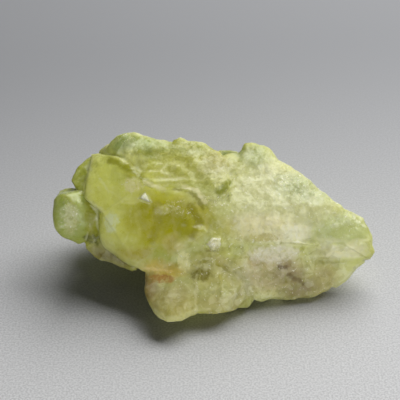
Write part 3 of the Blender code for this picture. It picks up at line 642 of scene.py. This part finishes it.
# Clouds of colour inside the stone, in its own millimetres: middle, size, display colour,
# and how much of it shows. Each is laid over those before it.
clouds = {
    "window": ((-12.5, 1.0, 12.5), (6.5, 6.0, 6.0), (236, 238, 116), 0.9),
    "windowTop": ((-14.6, 4.2, 16.0), (2.4, 2.6, 1.6), (228, 232, 114), 0.8),
    "hollow": ((-6.9, -1.6, 12.0), (4.3, 4.0, 3.4), (210, 206, 14), 1.0),
    "hollowHeart": ((-8.4, -2.0, 11.6), (2.6, 2.4, 2.4), (192, 186, 0), 0.8),
    "bulge": ((-2.8, -1.4, 12.8), (2.8, 2.4, 2.2), (192, 186, 28), 0.9),
    # painted shade: the underside of the overhang is coloured dark
    "underside": ((-14.5, -2.5, 5.6), (4.0, 3.0, 1.6), (112, 100, 10), 1.0),
    "lobe": ((-21.0, -0.6, 11.0), (3.0, 4.0, 4.0), (176, 190, 92), 1.0),
    "crown": ((-9.5, 7.4, 18.4), (5.0, 2.2, 1.4), (168, 180, 96), 0.9),
    "crownKnob": ((-13.0, 8.0, 19.0), (1.5, 1.2, 1.1), (150, 166, 90), 0.8),
    "crownPale": ((-7.9, 7.7, 18.5), (2.6, 0.9, 0.6), (196, 210, 146), 0.8),
    "upper": ((-4.0, 4.4, 16.8), (5.0, 3.4, 1.8), (200, 200, 96), 0.9),
    "upperTop": ((-2.6, 7.6, 18.0), (4.6, 1.7, 1.2), (172, 178, 92), 0.8),
    "oliveLedge": ((-11.0, 4.8, 17.3), (2.6, 1.6, 1.0), (214, 216, 92), 0.8),
    "brownVeil": ((0.8, 4.9, 16.9), (2.3, 2.4, 1.4), (164, 156, 64), 0.9),
    "sugar": ((10.0, 3.0, 12.6), (9.0, 7.0, 4.6), (220, 220, 164), 1.0),
    "sugarLow": ((7.0, -2.2, 10.9), (5.0, 1.8, 1.8), (246, 238, 190), 0.8),
    "sugarRim": ((14.0, 4.2, 13.2), (5.0, 2.2, 1.6), (206, 214, 166), 0.8),
    "knob": ((5.8, 8.0, 16.5), (2.0, 2.0, 1.4), (182, 190, 130), 0.9),
    "bump": ((2.4, 9.5, 16.0), (1.6, 1.4, 0.9), (108, 122, 46), 0.9),
    "tip": ((19.0, -0.8, 9.2), (4.0, 2.4, 1.7), (214, 222, 150), 0.9),
    "tipRim": ((20.6, 1.8, 9.8), (2.8, 1.6, 1.0), (212, 218, 166), 0.8),
    "tipBand": ((18.6, -2.6, 6.8), (4.2, 1.6, 1.3), (246, 242, 204), 0.8),
    "matrix": ((8.0, -5.2, 5.2), (4.6, 2.0, 3.2), (204, 188, 142), 0.9),
    "heel": ((15.8, -4.0, 3.0), (2.4, 2.0, 2.6), (190, 178, 112), 0.9),
    "lowerMiddle": ((0.0, -6.6, 6.6), (3.0, 2.4, 2.6), (188, 178, 84), 0.9),
    "lowerPale": ((1.2, -9.8, 3.0), (3.4, 2.0, 1.7), (198, 188, 126), 0.9),
    "foot": ((-6.0, -10.5, 4.2), (3.8, 3.4, 2.2), (178, 166, 92), 0.9),
    "shelf": ((-7.0, -6.2, 6.6), (3.0, 1.2, 0.9), (228, 198, 84), 0.8),
    # a brown tone near the stain, with painted shade on the foot's left side, turned from the light
    "footSidePaintedShade": ((-9.1, -8.2, 4.5), (1.4, 3.2, 1.4), (138, 106, 36), 0.9),
    "lowerGrey": ((3.4, -7.4, 4.4), (2.2, 1.8, 2.4), (186, 178, 130), 0.8),
    "matrixDark": ((10.8, -5.0, 4.6), (2.2, 1.2, 1.6), (150, 128, 88), 0.8),
    "bulgeSide": ((-1.9, -2.2, 12.3), (1.8, 2.0, 2.0), (194, 190, 44), 0.8),
    "bulgeFoot": ((-3.8, -3.2, 11.4), (1.7, 1.4, 1.4), (188, 184, 38), 0.8),
    "saddleLow": ((1.4, -3.4, 11.0), (1.8, 1.6, 1.9), (190, 186, 78), 0.7),
    "lensGround": ((1.3, 2.4, 15.7), (1.9, 1.6, 1.2), (186, 186, 88), 0.6),
    "creaseGround": ((-10.6, 4.0, 16.4), (2.0, 1.3, 1.0), (172, 172, 22), 0.7),
    "windowFoot": ((-10.7, -4.4, 8.1), (2.2, 1.2, 1.0), (192, 180, 52), 0.8),
    "hollowFoot": ((-5.8, -4.5, 9.6), (1.8, 1.2, 1.2), (228, 214, 122), 0.7),
    "tipStart": ((11.4, -2.0, 9.4), (2.6, 1.4, 1.3), (255, 252, 216), 0.9),
    "heelDark": ((12.2, -5.2, 2.0), (2.8, 1.2, 1.5), (140, 120, 84), 0.8),
}

# Smaller marks with ragged borders, given in the same way.
marks = {
    "lobeFrost": ((-20.0, -0.6, 11.4), (1.0, 2.0, 2.3), (204, 204, 140), 0.7),
    "whitePatch": ((-14.3, -1.2, 11.1), (0.9, 1.5, 1.6), (240, 248, 196), 0.8),
    # the frost patch's own pale colour; the same name also serves the painted sparkle on frosted places
    "frostAndPaintedSparkle": ((-11.2, 2.0, 15.2), (1.5, 1.2, 0.9), (250, 244, 180), 0.8),
    # a yellow olive band, darkened as a painted shadow under the rim of the sugary face
    "yellowBandAndPaintedShadow": ((7.3, -3.1, 9.7), (3.2, 0.7, 0.5), (194, 184, 98), 0.7),
    "whiteCrust": ((8.8, -4.1, 7.6), (4.6, 1.2, 1.1), (240, 236, 208), 0.8),
    "pit": ((-1.7, -7.2, 6.4), (1.6, 1.0, 0.8), (134, 126, 0), 0.85),
    "whiteFacet": ((-4.1, -5.8, 7.6), (0.9, 1.0, 1.5), (242, 238, 168), 0.9),
    "footStain": ((-7.2, -7.3, 5.8), (2.0, 0.8, 0.4), (184, 138, 62), 0.9),
    "tipFacet": ((19.4, -0.6, 9.0), (3.2, 1.3, 0.7), (208, 214, 142), 0.9),
    # painted shade in the recess between the lobe and the window
    "recess": ((-17.0, 0.2, 10.4), (1.15, 1.4, 2.5), (166, 168, 34), 0.9),
    # a painted shadow under the perched chip
    "paintedShadowUnderChip": ((0.6, -5.6, 9.1), (1.6, 0.8, 0.4), (146, 136, 44), 0.8),
    # fine dark crackle at the bottom of the recess, with painted shade over it
    "crumbleAndPaintedShade": ((-17.0, -0.7, 7.7), (1.4, 0.9, 0.8), (104, 108, 22), 0.9),
}

# Rims and creases: the corners of a path, how wide it reaches, display colour, and share.
paths = {
    "oliveCrease": (
        [(-14.6, 5.6, 17.0), (-12.8, 4.5, 16.9), (-11.0, 3.6, 16.3), (-8.8, 1.6, 15.5)],
        0.75, (160, 162, 10), 0.8),
    "paleRidge": ([(-9.5, 1.8, 15.8), (-6.7, 1.0, 15.0)], 0.5, (244, 240, 176), 0.7),
    "bulgeRim": (
        [(-4.2, 1.6, 15.1), (-2.2, 1.0, 15.0), (-1.1, -0.4, 13.9)],
        0.5, (240, 236, 176), 0.8),
    # a painted shadow under the bulge's rim
    "paintedShadowUnderRim": (
        [(-5.4, 1.2, 14.9), (-4.2, 1.2, 14.6), (-2.4, 0.5, 14.4), (-1.4, -1.0, 13.3)],
        0.45, (140, 134, 16), 0.55),
    "windowRim": (
        [(-17.5, 7.2, 16.6), (-17.9, 5.6, 15.2), (-18.0, 3.5, 14.1), (-18.0, 1.3, 13.1),
         (-15.3, -0.2, 12.1)],
        0.5, (236, 238, 150), 0.8),
    "windowLowRim": (
        [(-15.3, -1.6, 8.6), (-14.4, -3.0, 8.0), (-11.9, -4.9, 7.1), (-9.6, -6.0, 6.6)],
        0.5, (216, 214, 120), 0.5),
    # painted shade along the foot of the crown
    "crownFootPaintedShade": (
        [(-11.5, 6.0, 17.9), (-10.0, 6.0, 17.9), (-8.6, 6.1, 17.8), (-6.8, 7.0, 18.1),
         (-5.2, 7.8, 18.6)],
        0.45, (156, 160, 50), 0.45),
    "tipFacetFoot": (
        [(14.6, -1.5, 8.3), (17.3, -1.8, 8.3), (19.8, -1.4, 7.9), (22.0, -1.0, 7.8)],
        0.4, (232, 232, 180), 0.6),
    "matrixCrackOne": (
        [(9.4, -4.8, 5.9), (10.2, -4.8, 5.8), (10.9, -4.8, 5.9)],
        0.45, (112, 92, 46), 0.7),
    "matrixCrackTwo": (
        [(10.7, -4.9, 4.7), (11.4, -5.1, 4.0), (12.2, -4.9, 3.6), (12.8, -4.9, 3.0)],
        0.5, (116, 98, 50), 0.7),
    "shelfStreakOne": (
        [(-9.8, -5.9, 6.5), (-7.6, -6.3, 6.6), (-5.2, -6.5, 6.2)],
        0.3, (238, 214, 130), 0.7),
    "footSeam": (
        [(-2.3, -6.6, 7.0), (-2.3, -8.0, 6.0), (-2.4, -10.0, 4.0), (-2.3, -11.0, 3.0)],
        0.35, (216, 212, 152), 0.6),
    # a painted glow along the foot's thin lower rim
    "footRimPaintedGlow": (
        [(-8.2, -11.6, 3.6), (-6.3, -13.2, 3.2), (-3.9, -12.4, 3.1), (-2.4, -11.0, 3.0)],
        0.7, (214, 210, 150), 0.7),
    # painted highlights: a pale ring of glints round the lens
    "lensRimPaintedGlints": ([(0.8, 0.6, 14.6), (1.7, 1.3, 15.1), (2.5, 2.2, 15.4)], 1.1, (224, 226, 152), 0.6),
    "lensHeart": ([(0.9, 0.8, 14.8), (1.7, 1.5, 15.2), (2.4, 2.3, 15.5)], 0.9, (138, 144, 20), 0.9),
    "hollowEdge": (
        [(-7.8, -0.5, 13.4), (-7.7, -1.8, 11.5), (-8.5, -3.5, 9.6)],
        1.0, (164, 156, 6), 0.4),
    "hollowLineOne": (
        [(-4.3, 0.2, 14.5), (-5.7, -1.3, 12.5), (-5.1, -3.7, 10.4)],
        0.35, (222, 214, 116), 0.35),
    "hollowLineTwo": ([(-10.8, -0.9, 12.2), (-10.2, -3.0, 10.0)], 0.35, (226, 224, 116), 0.35),
    "wedge": (
        [(-3.2, -0.8, 13.5), (-1.8, -2.5, 12.0), (-2.9, -4.2, 10.8)],
        0.8, (144, 136, 8), 0.5),
    "wedgeRim": (
        [(-2.4, -0.6, 13.6), (-0.9, -2.2, 12.2), (-0.8, -3.2, 11.3)],
        0.35, (214, 206, 112), 0.4),
    "veilEdge": (
        [(-9.4, 1.0, 14.6), (-7.6, -0.6, 13.3), (-6.4, -0.9, 13.1)],
        0.35, (218, 212, 100), 0.4),
    "crackOne": (
        [(-16.4, 4.0, 15.6), (-14.8, 2.0, 14.2), (-13.8, 1.6, 13.8)],
        0.3, (240, 242, 176), 0.45),
    "crackTwo": (
        [(-12.6, -3.6, 9.0), (-11.4, -2.0, 10.6), (-11.6, -0.4, 12.4)],
        0.25, (236, 236, 150), 0.5),
}

# All else about the look. Patterns have their cells to a millimetre first.
crystalLook = {
    "shades": {
        "deep": (196, 202, 96),            # the plain body, from place to place
        "pale": (222, 224, 150),
        "patchPale": (240, 242, 196),
        "patchDeep": (158, 160, 62),
        "sugar": (242, 242, 216),
        "gap": (156, 154, 52),
        "sheafPale": (230, 228, 164),
        "sheafOlive": (176, 172, 60),
        "grown": (214, 214, 160),
        # painted shade in the creases
        "paintedCreaseShade": (150, 150, 50),
        # a painted glow on the edges
        "edge": (236, 240, 190),
        # painted sparkle
        "paintedSparkle": (255, 255, 238),
        # painted sparkle on the frosted places
        "frostAndPaintedSparkle": (255, 252, 214),
    },
    # detail, roughness, and the two levels that it eases between
    "grains": {
        "body": (0.16, 4.0, 0.6, 0.35, 0.65),
        "sugar": (0.55, 5.0, 0.65, 0.48, 0.72),
        "gap": (1.3, 4.0, 0.6, 0.50, 0.30),
        "sheafPale": (0.75, 3.0, 0.6, 0.52, 0.66),
        "sheafOlive": (0.75, 3.0, 0.6, 0.46, 0.34),
        "grown": (0.8, 3.0, 0.6, 0.42, 0.62),
        "worn": (1.7, 4.0, 0.7, 0.35, 0.55),
        "patchy": (1.5, 3.0, 0.6, 0.44, 0.60),
        "rough": (1.1, 3.0, 0.6, 0.35, 0.7),
    },
    # detail, and how far places stray before a pattern is looked up
    "strays": {
        "bent": (0.35, 2.0, 2.4),
        "ragged": (1.3, 4.0, 1.5),
        "jagged": (0.8, 3.0, 0.9),
        "frayed": (1.6, 3.0, 0.7),
    },
    # how much a layer shows, or the skin leans or is rough, zone by zone and everywhere
    "shows": {
        "sugar": {"sugary": 0.25, "everywhere": 0.12},
        "gap": {"sugary": 0.2, "lower": 0.5},
        "sheafPale": {"ledged": 0.45},
        "sheafOlive": {"ledged": 0.4},
        # how much of the painted edge glow shows
        "edge": {"glassy": 0.35, "everywhere": 0.15},
        # how much painted sparkle shows
        "paintedSparkle": {"sugary": 0.35, "lower": 0.45, "frosted": 0.5, "everywhere": 0.10},
        "clear": {"glassy": 0.14, "everywhere": 0.03},      # share that is clear crystal
        "grainLean": {"frosted": 0.3, "glassy": -0.34, "everywhere": 0.39},
        "faceLean": {"glassy": -0.16, "everywhere": 0.26},
        "rough": {"glassy": -0.18, "everywhere": 0.44},
    },
    # and how much of a layer is taken away again
    "fades": {
        "patch": {"glassy": 0.7, "sugary": 0.5, "smooth": 0.6},
        "gap": {"smooth": 0.7},
    },
    "patches": ((0.42, 0.30), (1.1, 0.24)),         # and how much shows
    # painted sparkle: cells to a millimetre, where dots end and are full, and how rare; then the same
    # on frosted places
    "sparkleDots": (3.0, 0.36, 0.18, 0.76, 0.82),        # where dots end and are full, and how rare
    "frostSparkleDots": (5.2, 0.42, 0.22, 0.55, 0.65),
    "levelStretch": (0.30, 0.8, 2.4),               # how a pattern is drawn out into streaks
    "uprightStretch": (1.6, 1.6, 0.28),
    # where the crystal grew in upright streaks: middle and size, and how much shows
    "grownPlaces": (((-21.0, -0.5, 11.0), (2.4, 3.0, 4.0)), ((-5.6, -9.0, 2.8), (3.6, 3.0, 2.6))),
    "grownShare": 0.30,
    "wear": 0.6,                                    # how much of a mark can be worn away
    # painted shade in the creases: the bends where it starts and is full, and how much shows
    "paintedCreaseShadeBends": (0.10, 1.4),
    "paintedCreaseShadeShare": 0.30,
    # a painted glow on the edges: the bends where it starts and is full
    "edgeBends": (0.25, 1.3),
    "grainCells": 2.4,                              # small faces that lean their own way
    "faceCells": 0.8,
    "upward": (0.3, 0.5, 0.9),                      # the way that the bright chips face
    "perchedShare": 0.4,
    "roughGain": 0.2,
    "ior": 1.61,
    "shine": 0.4,
    "clearRoughness": 0.12,
    "absorbs": (0.86, 0.90, 0.35, 1.0),             # what is left of the light inside,
    "absorption": 25.0,                             # and how fast, to a metre
    "glow": 0.65,                                   # how much light spreads under the skin,
    "glowColours": (1.0, 0.95, 0.55),
    "glowReach": 0.004,                             # and how far, in metres
    "pitting": (3.2, 4.0, 0.6),                     # the finest bumps: detail and roughness,
    "pittingStrength": 0.4,
    "pittingHeight": 0.0001,                        # and height, in metres
}


def shown(masks, name):
    # a share that differs from zone to zone: the sum of the masks, each times its part
    return sum(part * masks[zone] for zone, part in crystalLook["shows"][name].items())


def faded(masks, name):
    # what is left where several zones each take a part away
    left = 1.0
    for zone, part in crystalLook["fades"][name].items():
        left = (1.0 - part * masks[zone]) * left
    return left


def stoneColour(board, point, bent, ragged, masks, own):
    # layer upon layer: clouds, patches, sugar, streaks, marks, paths, painted crease shade, a painted
    # edge glow and painted sparkle
    look, grains = crystalLook, crystalLook["grains"]
    shades = {name: rgb(*shade) for name, shade in look["shades"].items()}
    colour = board.mix(board.grain(point, *grains["body"]), shades["deep"], shades["pale"])
    for centre, radii, shade, strength in clouds.values():
        colour = board.mix(board.blob(bent, centre, radii) * strength, colour, rgb(*shade))
    for name, (shade, strength) in crystalTints.items():
        colour = board.mix(own[name] * strength, colour, rgb(*shade))

    # patches with corners: every cell of two sizes is a little paler or deeper
    jagged = board.stray(point, *look["strays"]["jagged"])
    for size, strength in look["patches"]:
        chance, strength = board.cells(jagged, size), faded(masks, "patch") * strength
        colour = board.mix(board.ramp(chance, 0.5, 1.0) * strength, colour, shades["patchPale"])
        colour = board.mix(board.ramp(chance, 0.5, 0.0) * strength, colour, shades["patchDeep"])

    # sugar: white grains over yellow green, with darker gaps between them
    veil = board.grain(ragged, *grains["sugar"]) * shown(masks, "sugar")
    colour = board.mix(veil, colour, shades["sugar"])
    gaps = board.grain(bent, *grains["gap"]) * shown(masks, "gap") * faded(masks, "gap")
    colour = board.mix(gaps, colour, shades["gap"])

    # sheaves: pale and olive streaks that lie nearly level
    level = board.vector("MULTIPLY", ragged, look["levelStretch"])
    for name in ("sheafPale", "sheafOlive"):
        streak = board.grain(level, *grains[name]) * shown(masks, name)
        colour = board.mix(streak, colour, shades[name])

    # the lobe and the foot are streaked from top to bottom
    upright = board.vector("MULTIPLY", ragged, look["uprightStretch"])
    lobe, foot = [board.blob(point, centre, radii) for centre, radii in look["grownPlaces"]]
    streak = board.grain(upright, *grains["grown"]) * (lobe + foot) * look["grownShare"]
    colour = board.mix(streak, colour, shades["grown"])

    # ragged marks, worn away in places, then paths, painted shade in the creases and a painted glow on
    # the edges
    worn = board.grain(ragged, *grains["worn"]) * look["wear"] + (1.0 - look["wear"])
    for centre, radii, shade, strength in marks.values():
        share = board.blob(ragged, centre, radii, 1.35, 0.7) * worn
        colour = board.mix(share * strength, colour, rgb(*shade))
    frayed = board.stray(point, *look["strays"]["frayed"])
    for corners, reach, shade, strength in paths.values():
        colour = board.mix(board.stroke(frayed, corners, reach) * strength, colour, rgb(*shade))
    # painted shade darkens the creases
    paintedCreaseShade = board.ramp(masks["paintedCreaseShade"], *look["paintedCreaseShadeBends"]) * look["paintedCreaseShadeShare"]
    colour = board.mix(paintedCreaseShade, colour, shades["paintedCreaseShade"])
    # a painted glow lightens the edges
    edge = board.ramp(masks["edge"], *look["edgeBends"]) * shown(masks, "edge")
    colour = board.mix(edge, colour, shades["edge"])

    # painted sparkle: a few of the cells, near their middles, made bright
    paintedSparkle = board.sparkleDots(ragged, *look["sparkleDots"]) * shown(masks, "paintedSparkle")
    colour = board.mix(paintedSparkle, colour, shades["paintedSparkle"])
    # more painted sparkle on the frosted places
    patchy = board.grain(point, *grains["patchy"]) * masks["frosted"]
    return board.mix(board.sparkleDots(ragged, *look["frostSparkleDots"]) * patchy, colour, shades["frostAndPaintedSparkle"])


def stoneNormal(board, point, bent, ragged, masks, own):
    # grains and small faces each lean their own way; two bright chips face upwards
    look = crystalLook
    normal = board.node("ShaderNodeNewGeometry", output=1)
    upward = own["glint"] + own["perchedChip"] * look["perchedShare"]
    for way, share in (
        (look["upward"], upward),
        (board.cellWay(ragged, look["grainCells"]), shown(masks, "grainLean")),
        (board.cellWay(bent, look["faceCells"]), shown(masks, "faceLean")),
    ):
        normal = board.vector("ADD", normal, board.vector("SCALE", way, scale=share))
    return board.node("ShaderNodeBump", None, {
        "Strength": look["pittingStrength"], "Distance": look["pittingHeight"],
        "Height": board.noise(point, *look["pitting"]), "Normal": board.vector("NORMALIZE", normal)})


def stoneMaterial():
    # cloudy crystal, with a share of clear crystal that the light goes through
    board, look = Board("brazilianite"), crystalLook
    point = board.node("ShaderNodeTexCoord", output=3)
    point = board.vector("SCALE", point, scale=1.0 / mm)
    point = board.vector("SUBTRACT", point, mass["shift"])
    bent, ragged = [board.stray(point, *look["strays"][name]) for name in ("bent", "ragged")]
    masks = {name: board.mask(name) for name in (*skinZones, "edge", "paintedCreaseShade")}
    masks["everywhere"] = 1.0
    own = {name: board.ramp(board.mask(name), 0.3, 0.7) for name in crystalTints}
    colour = stoneColour(board, point, bent, ragged, masks, own)
    normal = stoneNormal(board, point, bent, ragged, masks, own)
    rough = board.grain(point, *look["grains"]["rough"]) * look["roughGain"] + shown(masks, "rough")
    cloudy = board.node("ShaderNodeBsdfPrincipled", None, {
        "Base Color": colour, "Roughness": rough, "Normal": normal, "IOR": look["ior"],
        "Specular IOR Level": look["shine"], "Subsurface Weight": look["glow"],
        "Subsurface Radius": look["glowColours"], "Subsurface Scale": look["glowReach"]})
    clear = board.node("ShaderNodeBsdfPrincipled", None, {
        "Base Color": colour, "Roughness": look["clearRoughness"], "Normal": normal,
        "IOR": look["ior"], "Transmission Weight": 1.0})
    surface = board.node("ShaderNodeMixShader", None, {
        0: shown(masks, "clear"), 1: cloudy, 2: clear})
    inside = board.node("ShaderNodeVolumeAbsorption", None, {
        "Color": look["absorbs"], "Density": look["absorption"]})
    board.finish(surface, inside)
    return board.material


stone.data.materials.append(stoneMaterial())
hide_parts("crystal_mass")
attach(stone, "root")
print("stone finished")

# The room: a pale floor that runs out of sight, with painted light on it, two soft lights and a pale
# sky.
room = {
    "floorHalf": 1.5,
    # painted light: the floor is coloured darker far off and brighter near, towards the right
    "farPaintedShade": (0.29, 0.295, 0.31, 1.0),
    "nearPaintedLight": (0.88, 0.88, 0.88, 1.0),
    "paintedLightWay": (0.10, -0.995, 0.0),             # the floor pales this way,
    "paintedLightRun": (-0.075, 0.055),                 # between these metres from the middle
    "grain": (3600.0, 2.0, 0.5, 0.3, 0.7),      # cells to a metre, detail, roughness, levels
    "grainTone": (0.30, 0.30, 0.30, 1.0),
    "grainShare": 0.42,
    "floorRoughness": 0.7,
    "key": {"at": (0.125, 0.186, 0.27), "size": (0.40, 0.26), "watts": 1.62},
    "fill": {"at": (0.02, -0.40, 0.10), "size": (0.40, 0.24), "watts": 0.95},
    "sky": (0.80, 0.83, 0.88, 1.0),
    "skyStrength": 0.06,
}


def makeFloor():
    # a flat sheet under the stone, with painted light: darker far off, brighter near
    half = room["floorHalf"]
    mesh = bpy.data.meshes.new("floor")
    mesh.from_pydata([(-half, -half, 0), (half, -half, 0), (half, half, 0), (-half, half, 0)],
                     [], [(0, 1, 2, 3)])
    floor = bpy.data.objects.new("floor", mesh)
    bpy.context.scene.collection.objects.link(floor)
    board = Board("paleFloor")
    place = board.node("ShaderNodeTexCoord", output=3)
    near = board.ramp(board.dot(place, room["paintedLightWay"]), *room["paintedLightRun"])
    tone = board.mix(near, room["farPaintedShade"], room["nearPaintedLight"])
    grain = board.grain(place, *room["grain"]) * room["grainShare"]
    tone = board.mix(grain, tone, room["grainTone"])
    board.finish(board.node("ShaderNodeBsdfPrincipled", None, {
        "Base Color": tone, "Roughness": room["floorRoughness"]}))
    mesh.materials.append(board.material)


def makeLight(name, look, onlyOn=None):
    # a soft light that faces the stone, and that may leave the floor unlit
    lamp = bpy.data.lights.new(name, "AREA")
    lamp.shape, lamp.energy = "RECTANGLE", look["watts"]
    lamp.size, lamp.size_y = look["size"]
    made = bpy.data.objects.new(name, lamp)
    made.location = look["at"]
    made.rotation_euler = Vector(look["at"]).to_track_quat("Z", "Y").to_euler()
    bpy.context.scene.collection.objects.link(made)
    if onlyOn:
        lit = bpy.data.collections.new(name + "Reaches")
        lit.objects.link(onlyOn)
        made.light_linking.receiver_collection = lit


def makeCamera():
    # looks down on the front of the stone from thirty-five degrees
    view = {"target": (-1.8, 0.0, 14.0), "rise": 35.0, "away": 0.180, "frameWide": 0.056}
    rise = np.radians(view["rise"])
    back = Vector((0.0, -np.cos(rise), np.sin(rise)))
    camera = bpy.data.cameras.new("camera")
    camera.sensor_width = 36.0
    camera.lens = camera.sensor_width * view["away"] / view["frameWide"]
    camera.clip_start, camera.clip_end = 0.01, 10.0
    made = bpy.data.objects.new("camera", camera)
    target = Vector(view["target"]) + Vector(mass["shift"])
    made.location = target * mm + back * view["away"]
    made.rotation_euler = back.to_track_quat("Z", "Y").to_euler()
    bpy.context.scene.collection.objects.link(made)
    bpy.context.scene.camera = made


def makeSky():
    world = bpy.data.worlds.new("sky")
    world.use_nodes = True
    background = world.node_tree.nodes["Background"]
    background.inputs["Color"].default_value = room["sky"]
    background.inputs["Strength"].default_value = room["skyStrength"]
    bpy.context.scene.world = world


makeFloor()
makeLight("keyLight", room["key"])
makeLight("fillLight", room["fill"], stone)
makeSky()
makeCamera()
bpy.context.scene.view_settings.view_transform = "Standard"
print("room ready")
